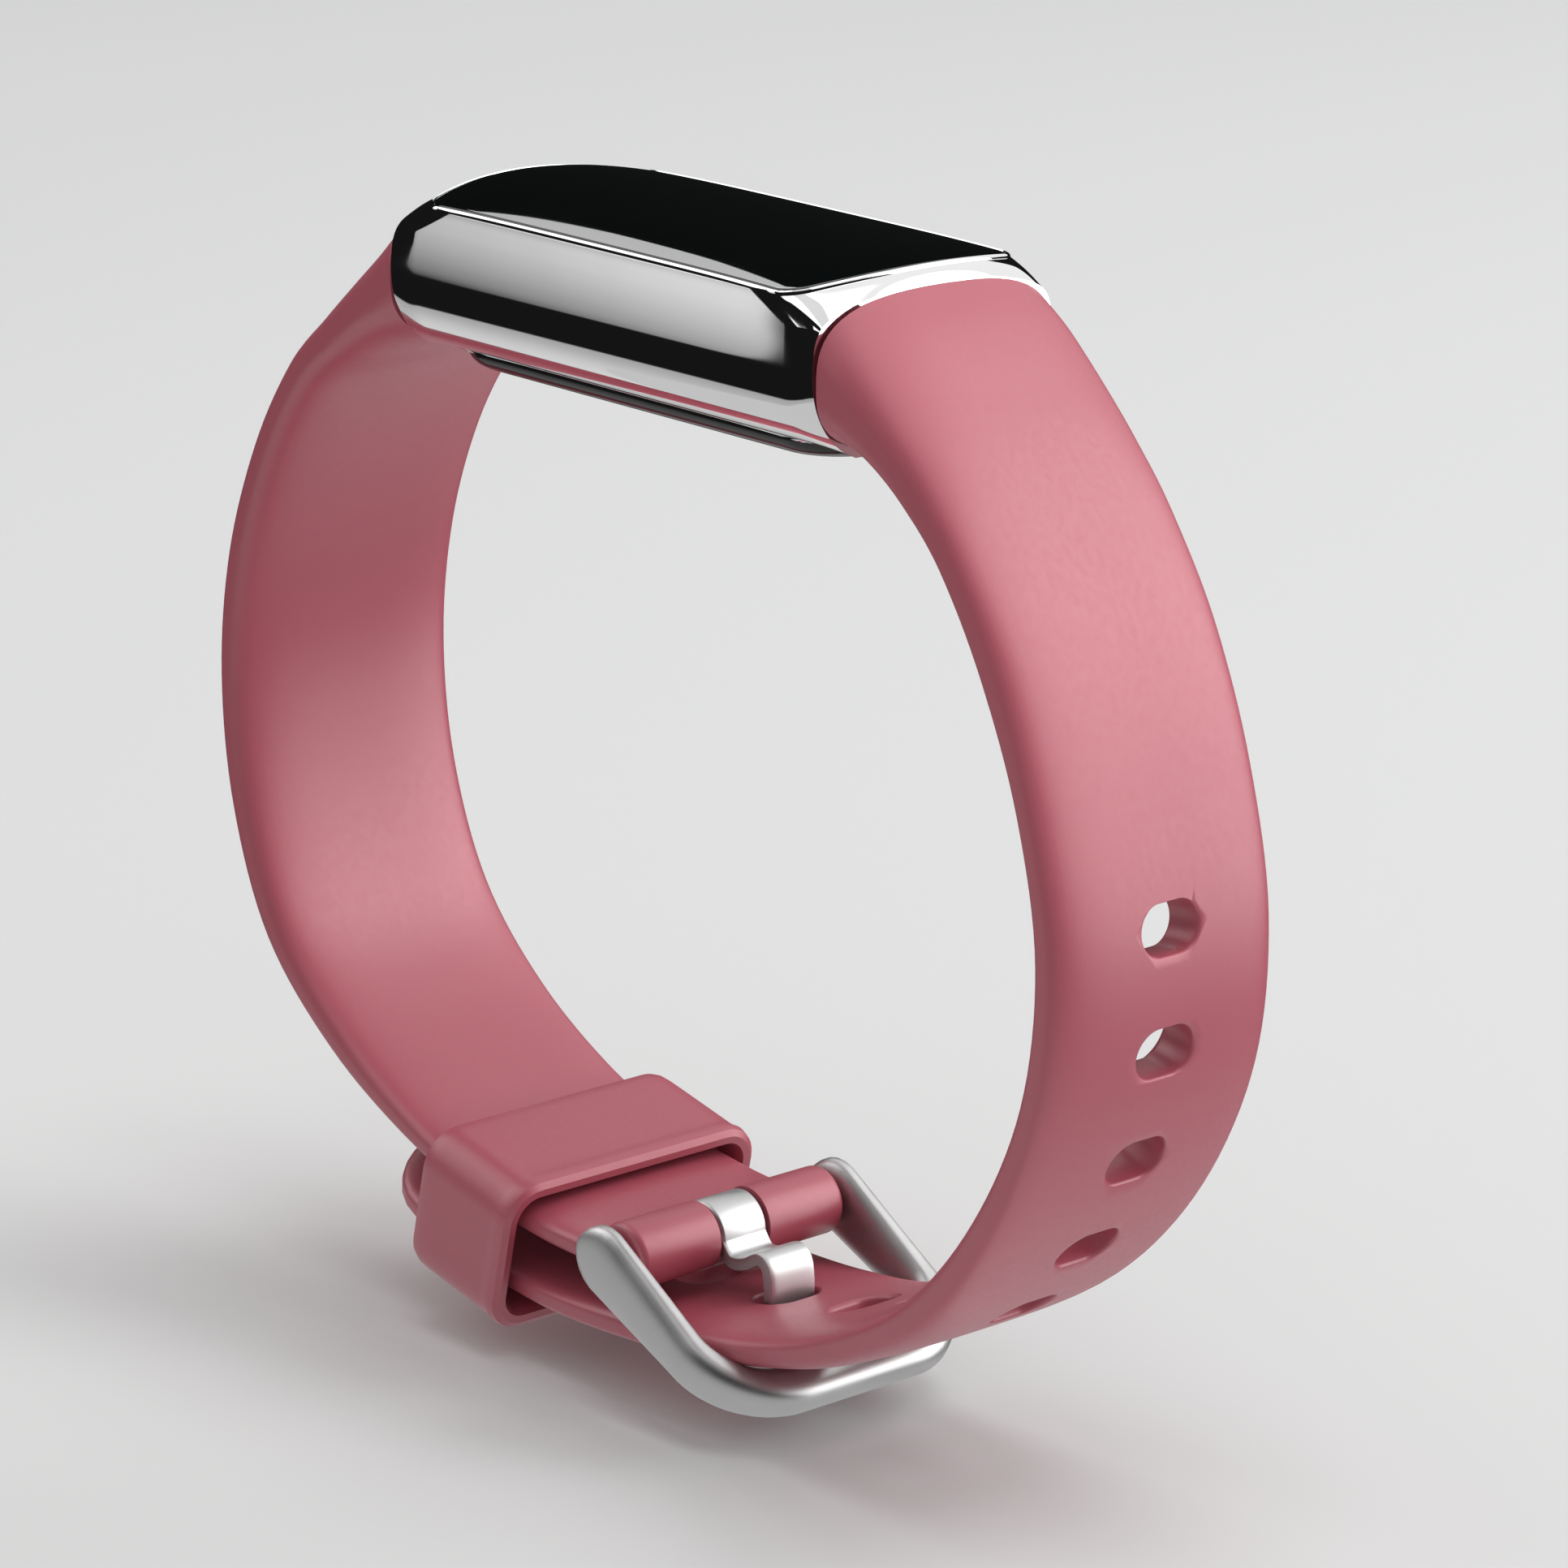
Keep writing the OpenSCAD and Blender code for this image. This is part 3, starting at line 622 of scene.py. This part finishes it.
def glass_edge():
    """Quarter outline of the glass in plan, from the middle of its bowed end to its side's."""
    r = GLASS_CORNER
    bow_r = ((GLASS_W / 2) ** 2 + BOW ** 2) / (2 * BOW)
    pts = [(GLASS_L / 2 - bow_r + math.sqrt(bow_r ** 2 - y * y), y)
           for y in np.linspace(0, 6.8, 40)]
    x0, y0 = pts[-1]
    slope = math.asin(y0 / bow_r)
    cx = x0 - r * math.cos(slope)
    low, high = y0 - r * math.sin(slope), GLASS_W / 2 - r
    for a in np.linspace(slope, math.pi / 2, 30)[1:]:
        share = (a - slope) / (math.pi / 2 - slope)
        pts.append((cx + r * math.cos(a), low + (high - low) * share + r * math.sin(a)))
    pts += [(x, GLASS_W / 2) for x in np.linspace(pts[-1][0], 0, 60)[1:]]
    return even(np.array(pts), 1200, closed=False)


EDGE = glass_edge()
EDGE_LENGTH = lengths(EDGE)[-1]
CORNER_AT = lengths(EDGE)[np.argmax(EDGE @ [0.45, 1.0])]
CREASE_AT = lengths(OUTLINE)[np.argmin(np.hypot(OUTLINE[:, 0] - 8.25, OUTLINE[:, 1] - 23.83))]
OUTLINE_LENGTH = lengths(OUTLINE)[-1]
SIDE_LENGTH = lengths(SIDE)[-1]


def glass_height(x, y):
    """Height of the crowned glass, level outside its edge."""
    return (GLASS_TOP - FALL_ACROSS * (min(abs(y), 8.3) / 8.3) ** 2
            - FALL_ALONG * (min(abs(x), 17.25) / 17.25) ** 4)


def edge_point(distance, grow):
    """Point at a distance along the glass's edge, moved outwards by grow."""
    x, y = along(EDGE, distance)
    ahead = along(EDGE, min(distance + 0.05, EDGE_LENGTH))
    behind = along(EDGE, max(distance - 0.05, 0))
    tangent = (ahead - behind) / np.linalg.norm(ahead - behind)
    return x + tangent[1] * grow, y - tangent[0] * grow


END_SHARES = np.linspace(0, 1, N_END) ** 0.8
SIDE_SHARES = (np.linspace(0, 1, N_SIDE) ** 1.7)[1:]


def plan_ring(end_point, side_point):
    """Closed ring from a quarter: along the end to the corner, then along the side to its middle."""
    q = [end_point(t) for t in END_SHARES] + [side_point(t) for t in SIDE_SHARES]
    q = np.array(q, float)
    half_ring = np.vstack([q, (q * [-1, 1, 1])[::-1][1:]])
    return np.vstack([half_ring, (half_ring * [1, -1, 1])[::-1][1:-1]])


def glass_ring(grow, rise, floor=None, shrink=1.0):
    """Ring along the glass's edge, at a height above its surface or at a fixed height."""
    def at(distance):
        x, y = edge_point(distance, grow)
        x, y = x * shrink, y * shrink
        return x, y, floor if floor is not None else glass_height(x, y) + rise
    return plan_ring(lambda t: at(t * CORNER_AT),
                     lambda t: at(CORNER_AT + t * (EDGE_LENGTH - CORNER_AT)))


corner_x, corner_y = edge_point(CORNER_AT, LIP_GROW)
corner_z = glass_height(corner_x, corner_y) + LIP_RISE
crease_y, crease_z = along(OUTLINE, CREASE_AT)


def side_ring(level, corner):
    """Side part of a ring at a share of the side's profile, bent to meet the end at the corner."""
    y_mid, z_mid = along(SIDE, level * SIDE_LENGTH)

    def at(t):
        x = corner[0] * (1 - t)
        near = max(0.0, 1 - (corner[0] - x) / SIDE_REACH) ** 2
        return x, y_mid + (corner[1] - y_mid) * near, z_mid + (corner[2] - z_mid) * near
    return at


def bevel_ring(level):
    """Ring across the bevelled end: level runs from the lip to the end face's outline."""
    corner = (corner_x + (BEVEL_X - corner_x) * level, corner_y + (crease_y - corner_y) * level,
              corner_z + (crease_z - corner_z) * level)
    swell = BEVEL_SWELL * math.sin(math.pi * level)

    def at(t):
        x, y = edge_point(t * CORNER_AT, LIP_GROW)
        z = glass_height(x, y) + LIP_RISE
        oy, oz = along(OUTLINE, t * CREASE_AT)
        return x + (BEVEL_X - x) * level + swell, y + (oy - y) * level, z + (oz - z) * level + swell
    return plan_ring(at, side_ring(0.002 + CREASE_SHARE * level, corner))


def lower_ring(share):
    """Ring below the crease: the side, and rows across the end face."""
    oy, oz = along(OUTLINE, CREASE_AT + share * (OUTLINE_LENGTH - CREASE_AT))
    level = CREASE_SHARE + share * (1 - CREASE_SHARE)
    return plan_ring(lambda t: (END_X, oy * t, oz), side_ring(level, (END_X, oy, oz)))


def base_ring(length, width, r, z, rise=0.0):
    """Rounded rectangle in plan, with the same columns as the rings above; rise is at its ends."""
    def arc(start, stop):
        return [(length / 2 - r + r * math.cos(a), width / 2 - r + r * math.sin(a))
                for a in np.linspace(start, stop, 16)]

    end_part = np.array([(length / 2, 0)] + arc(0, math.pi / 4))
    side_part = np.array(arc(math.pi / 4, math.pi / 2) + [(0, width / 2)])

    def at(line, t):
        x, y = along(line, t * lengths(line)[-1])
        return x, y, z + rise * (x / length * 2) ** 6
    return plan_ring(lambda t: at(end_part, t), lambda t: at(side_part, t))


BEVEL_LEVELS = (0, 0.04, 0.1, 0.2, 0.3, 0.4, 0.5, 0.6, 0.7, 0.8, 0.88, 0.94, 0.98, 1)
LOWER_SHARES = (0.012, 0.03, 0.06, *np.linspace(0.1, 0.97, 34), 1)
case_rings = [glass_ring(0.03, 0, GLASS_FOOT)]
case_rings += [glass_ring(grow, rise) for grow, rise in (
    (0.03, -0.1), (0.06, -0.01), (0.13, 0.02), (0.2, -0.02), (0.25, -0.1))]
case_rings += [bevel_ring(level) for level in BEVEL_LEVELS]
case_rings += [lower_ring(share) for share in LOWER_SHARES]
case_rings += [base_ring(35.6, 12.56, 4.2, 16.88, -0.36), base_ring(34.1, 12.5, 4.03, 16.9, -0.1),
               base_ring(34.06, 12.46, 4.03, 17.1)]
case = loft("case_body", case_rings, sharp=CASE_SHARP)

# The case's room: a long oval bore, the openings for the glass and the base, the band's sockets
cavity_ring = [(y, CASE_Z + z) for y, z in oval(7.8, 3.6, 2.85, 48)]
case_cutters = [loft("cutter", [[(x, y, z) for y, z in cavity_ring] for x in (-15.2, 15.2)]),
                block((-15.2, -7.45, CASE_Z), (15.2, 7.45, 24.6)),
                block((-14.8, -5.5, 16.8), (14.8, 5.5, CASE_Z)),
                block((16.3, -6, 18.7), (19.2, 6, 22.9)),
                block((-19.2, -6, 18.7), (-16.3, 6, 22.9))]
boolean(case, case_cutters, sharp=CASE_SHARP)
finish_piece(case, "band", "polished_steel", "case_shell")

GLASS_SHRINKS = (0.985, 0.96, 0.93, 0.89, 0.84, 0.78, 0.7, 0.6, 0.5, 0.4, 0.3, 0.2, 0.1, 0.03)
glass_rings = [glass_ring(0, 0, GLASS_FOOT)]
glass_rings += [glass_ring(grow, rise) for grow, rise in (
    (0, -0.22), (-0.02, -0.1), (-0.07, -0.03), (-0.16, -0.004), (-0.26, 0))]
glass_rings += [glass_ring(-0.26, 0, shrink=f) for f in GLASS_SHRINKS]
finish_piece(loft("crowned_glass", glass_rings), "band", "cover_glass", "cover_glass")

# Base cover, rounded towards its lower face: (how far it has drawn in, height)
BASE_Z = 15.7
base_rings = [base_ring(34 - 2 * k, 12.4 - 1.6 * k, 4 - 0.8 * k, z) for k, z in (
    (0, 17.05), (0, 16.75), (0.06, 16.5), (0.22, 16.25), (0.5, 16.02), (0.9, 15.84),
    (1.4, 15.74), (1.9, BASE_Z))]
base = loft("base_cover", base_rings, sharp=CASE_SHARP)
# Seat and hole for the sensor window, and holes for the two charging contacts
base_cutters = [revolve("cutter", [(0, 4.33), (1.02, 4.33)], (-1, 0, BASE_Z - 0.02), "z"),
                revolve("cutter", [(0, 3.95), (3, 3.95)], (-1, 0, BASE_Z), "z")]
base_cutters += [revolve("cutter", [(-1, 1.22), (3, 1.22)], (x, 0, BASE_Z), "z", 48)
                 for x in (-11.5, 10.5)]
boolean(base, base_cutters, sharp=CASE_SHARP)
finish_piece(base, "band", "back_cover", "back_cover")

# ---------- studio ----------

FLOOR_Z, FLOOR_HALF = -42.8, 4000
DISC_X, DISC_Y, DISC_Z, DISC_R = -15, -45, -42.7, 60

corners = ((-1, -1), (1, -1), (1, 1), (-1, 1))
floor = make("floor", [(x * FLOOR_HALF, y * FLOOR_HALF, FLOOR_Z) for x, y in corners],
             [(0, 1, 2, 3)])
mat, tree, shader = new_material("floor")
pale = tint(tree, noise(tree, 2, 2.0), (0.705, 0.71, 0.71), (0.725, 0.73, 0.73))
tree.links.new(pale, shader.inputs["Base Color"])
shader.inputs["Roughness"].default_value = 0.9
shader.inputs["Specular IOR Level"].default_value = 0.1
floor.data.materials.append(mat)
floor.visible_glossy = False

# Pale disc on the floor under the buckle, seen only as a reflection
disc = make("reflector", [(DISC_R * math.cos(a) + DISC_X, DISC_R * math.sin(a) + DISC_Y, DISC_Z)
                          for a in np.linspace(0, 2 * np.pi, 64, endpoint=False)],
            [tuple(range(64))])
mat, tree, shader = new_material("reflector")
shader.inputs["Base Color"].default_value = (0, 0, 0, 1)
shader.inputs["Specular IOR Level"].default_value = 0
shader.inputs["Emission Color"].default_value = (0.6, 0.6, 0.6, 1)
shader.inputs["Emission Strength"].default_value = 1.0
disc.data.materials.append(mat)
disc.visible_camera = disc.visible_diffuse = False
disc.visible_shadow = disc.visible_transmission = False


class Field:
    """Numbers computed by math nodes in the world's shader."""

    def __init__(self, tree, socket):
        self.tree, self.socket = tree, socket

    def _op(self, kind, *others):
        n = self.tree.nodes.new("ShaderNodeMath")
        n.operation = kind
        for i, value in enumerate((self, *others)):
            if isinstance(value, Field):
                self.tree.links.new(value.socket, n.inputs[i])
            else:
                n.inputs[i].default_value = value
        return Field(self.tree, n.outputs[0])

    def __add__(self, o): return self._op("ADD", o)
    def __sub__(self, o): return self._op("SUBTRACT", o)
    def __mul__(self, o): return self._op("MULTIPLY", o)
    def __truediv__(self, o): return self._op("DIVIDE", o)
    def max(self, o): return self._op("MAXIMUM", o)
    def min(self, o): return self._op("MINIMUM", o)
    def abs(self): return self._op("ABSOLUTE")
    def sqrt(self): return self._op("SQRT")

    def over(self, low, high):
        """0 below low, 1 above high, smooth between."""
        t = ((self - low) / (high - low)).max(0).min(1)
        return t * t * (t * -2 + 3)


world = bpy.data.worlds.new("studio")
scene.world = world
world.use_nodes = True
wt = world.node_tree
wt.nodes.clear()
direction = wt.nodes.new("ShaderNodeTexCoord")
split = wt.nodes.new("ShaderNodeSeparateXYZ")
wt.links.new(direction.outputs["Generated"], split.inputs[0])
dx, dy, dz = (Field(wt, split.outputs[i]) for i in range(3))
# Half width of a card's soft edge, as a share of its corner radius
CARD_SOFT = 0.04


def card(azimuth, elevation, half_w, half_h, round_w, round_h, lean):
    """Mask of a rounded soft box in the world; sizes are tangents of angles. Returns mask, u, v."""
    a, e = math.radians(azimuth), math.radians(elevation)
    centre = (math.cos(e) * math.cos(a), math.cos(e) * math.sin(a), math.sin(e))
    right = (-math.sin(a), math.cos(a), 0)
    up = (-math.sin(e) * math.cos(a), -math.sin(e) * math.sin(a), math.cos(e))

    def dot(v):
        return dx * v[0] + dy * v[1] + dz * v[2]

    depth = dot(centre).max(0.001)
    v = dot(up) / depth
    u = dot(right) / depth - v * lean
    qu = u.abs() / round_w - (half_w / round_w - 1)
    qv = v.abs() / round_h - (half_h / round_h - 1)
    outside = (qu.max(0) * qu.max(0) + qv.max(0) * qv.max(0)).sqrt()
    distance = outside + qu.max(qv).min(0) - 1
    inside = (distance * -1).over(-CARD_SOFT, CARD_SOFT)
    return inside * dot(centre).over(0.0, 0.02), u, v


# Soft boxes that only glossy rays see: azimuth, elevation, half width, half height,
# corner radii across and up, lean, level, change of the level along u and along v
CARDS = [
    (-139.9, -6.3, 0.041, 0.115, 0.02, 0.1, 0.1, 0.54, 5.0, 3.2),
    (146.6, 29.4, 0.033, 0.1, 0.012, 0.03, 0, 3.0, 0.0, 8.0),
    (52, 18, 0.45, 0.7, 0.3, 0.4, 0, 3.0, 0.0, 0.0),
    (72, 46, 1.1, 0.8, 0.4, 0.4, 0, 0.95, 0.0, 0.0),
    (-140, 62, 0.4, 0.25, 0.2, 0.2, 0, 1.2, 0.0, 0.0),
    (-150, 34, 0.5, 0.28, 0.2, 0.15, 0, 1.5, 0.0, 0.0),
    (180, 45, 0.6, 0.25, 0.2, 0.2, 0, 0.9, 0.0, 0.0),
]
# Reflected floor, brighter the steeper it is seen, over a near-black room with a pale ceiling
down = dz * -1
light = down.over(0.45, 0.466) * ((down - 0.45).max(0) * 1.5 + 0.38) + 0.008
light = light + dz.over(0.86, 0.94) * 0.8
for *shape, level, change_u, change_v in CARDS:
    mask, u, v = card(*shape)
    light = light + mask * (u * change_u + v * change_v + level).max(0)
combine = wt.nodes.new("ShaderNodeCombineColor")
for i in range(3):
    wt.links.new(light.socket, combine.inputs[i])
studio = wt.nodes.new("ShaderNodeBackground")
wt.links.new(combine.outputs[0], studio.inputs["Color"])
ambient = wt.nodes.new("ShaderNodeBackground")
ambient.inputs["Color"].default_value = (0.78, 0.78, 0.775, 1)
ambient.inputs["Strength"].default_value = 0.79
path = wt.nodes.new("ShaderNodeLightPath")
mix = wt.nodes.new("ShaderNodeMixShader")
wt.links.new(path.outputs["Is Glossy Ray"], mix.inputs[0])
wt.links.new(ambient.outputs[0], mix.inputs[1])
wt.links.new(studio.outputs[0], mix.inputs[2])
world_out = wt.nodes.new("ShaderNodeOutputWorld")
wt.links.new(mix.outputs[0], world_out.inputs[0])


def softbox(name, at, towards, size, watts):
    """Round area lamp, in metres, that reflections don't show."""
    data = bpy.data.lights.new(name, "AREA")
    data.shape = "DISK"
    data.size = size
    data.energy = watts
    lamp = bpy.data.objects.new(name, data)
    scene.collection.objects.link(lamp)
    lamp.location = at
    lamp.rotation_mode = "QUATERNION"
    lamp.rotation_quaternion = (Vector(towards) - Vector(at)).to_track_quat("-Z", "Y")
    lamp.visible_camera = False
    lamp.visible_glossy = False


softbox("key", (0.58, 0.65, 0.42), (0, 0, -0.01), 0.4, 1.5)
softbox("overhead", (0.15, 0.05, 0.9), (0, 0, -0.02), 0.7, 2.5)
softbox("back", (0.18, 0.66, 0.58), (0, 0, -0.02), 0.5, 1.6)
softbox("fill", (0.65, 0.4, 0.03), (0, 0, -0.01), 0.35, 0.8)
